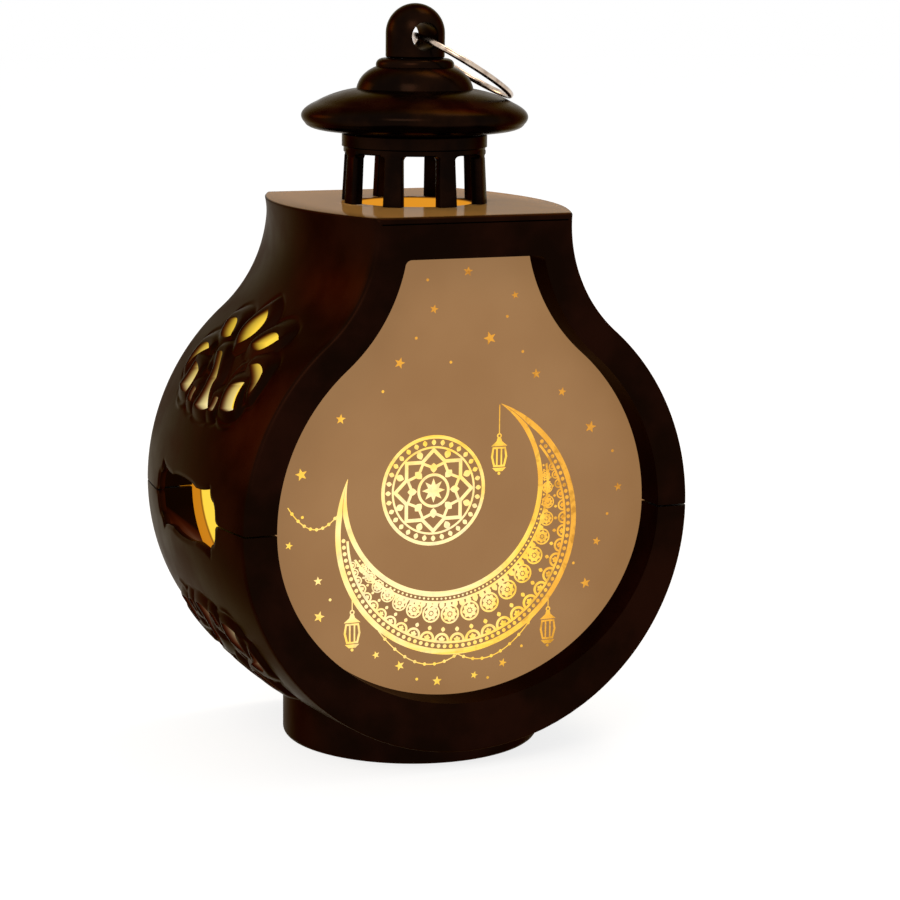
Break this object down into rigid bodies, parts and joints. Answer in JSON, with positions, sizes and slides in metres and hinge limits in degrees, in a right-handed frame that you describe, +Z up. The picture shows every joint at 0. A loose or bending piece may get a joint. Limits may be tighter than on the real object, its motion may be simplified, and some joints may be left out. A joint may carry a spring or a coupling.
{
  "type": "led candle lantern",
  "caption": "Bulb-shaped table lantern with framed picture panels, pierced side walls, a pillared gallery under a round roof, a hanging ring and a battery candle inside.",
  "frame": {"origin": "centre of the foot's underside, on the surface the lantern stands on", "axes": "+Z up through the knob, front panel towards -Y, +X to the right of the front panel"},
  "size_m": [0.0852, 0.055, 0.13],
  "materials": {
    "shell_plastic": "dark brown injection-moulded plastic, half gloss",
    "panel_acrylic": "warm translucent acrylic sheet with gold foil print",
    "ring_steel": "polished plated steel wire",
    "base_plastic": "fine matt moulded plastic",
    "nickel": "bright nickel plating",
    "brass": "stamped sheet, bright",
    "slider_plastic": "smooth pale plastic",
    "candle_plastic": "wax-like ivory plastic",
    "board": "green solder mask",
    "led_clear": "clear epoxy, lit warm",
    "flame_plastic": "translucent amber plastic, lit from below",
    "wire_red": "smooth insulation",
    "wire_black": "smooth insulation"
  },
  "bodies": {
    "lantern": {"upper_shell": "shell_plastic", "lower_shell": "shell_plastic", "front_panel": "panel_acrylic", "back_panel": "panel_acrylic", "gallery": "shell_plastic", "roof": "shell_plastic", "finial_knob": "shell_plastic", "base_plate": "base_plastic", "base_screw_1": "nickel", "base_screw_2": "nickel", "base_screw_3": "nickel", "button_cell_1": "nickel", "button_cell_2": "nickel", "button_cell_3": "nickel", "contact_link_top": "brass", "contact_tab_top": "brass", "contact_link_door": "brass", "switch_housing": "nickel", "candle_body": "candle_plastic", "circuit_board": "board", "led": "led_clear", "flame_bulb": "flame_plastic", "lead_wire_red": "wire_red", "lead_wire_black": "wire_black"},
    "ring": {"hanging_ring": "ring_steel"},
    "slider": {"switch_slider": "slider_plastic"},
    "door": {"battery_door": "base_plastic"}
  },
  "joints": [
    {"name": "ring_swing", "type": "hinge", "parent": "lantern", "child": "ring", "pos_m": [0.0002, 0, 0.1244], "axis": [-0.0401, -0.9971, -0.0654], "range_deg": [0, 242]},
    {"name": "switch_slide", "type": "slide", "parent": "lantern", "child": "slider", "axis": [1, 0, 0], "range_m": [0, 0.002]},
    {"name": "door_turn", "type": "hinge", "parent": "lantern", "child": "door", "pos_m": [0, 0, 0.0016], "axis": [0, 0, 1], "range_deg": [0, 45]}
  ]
}
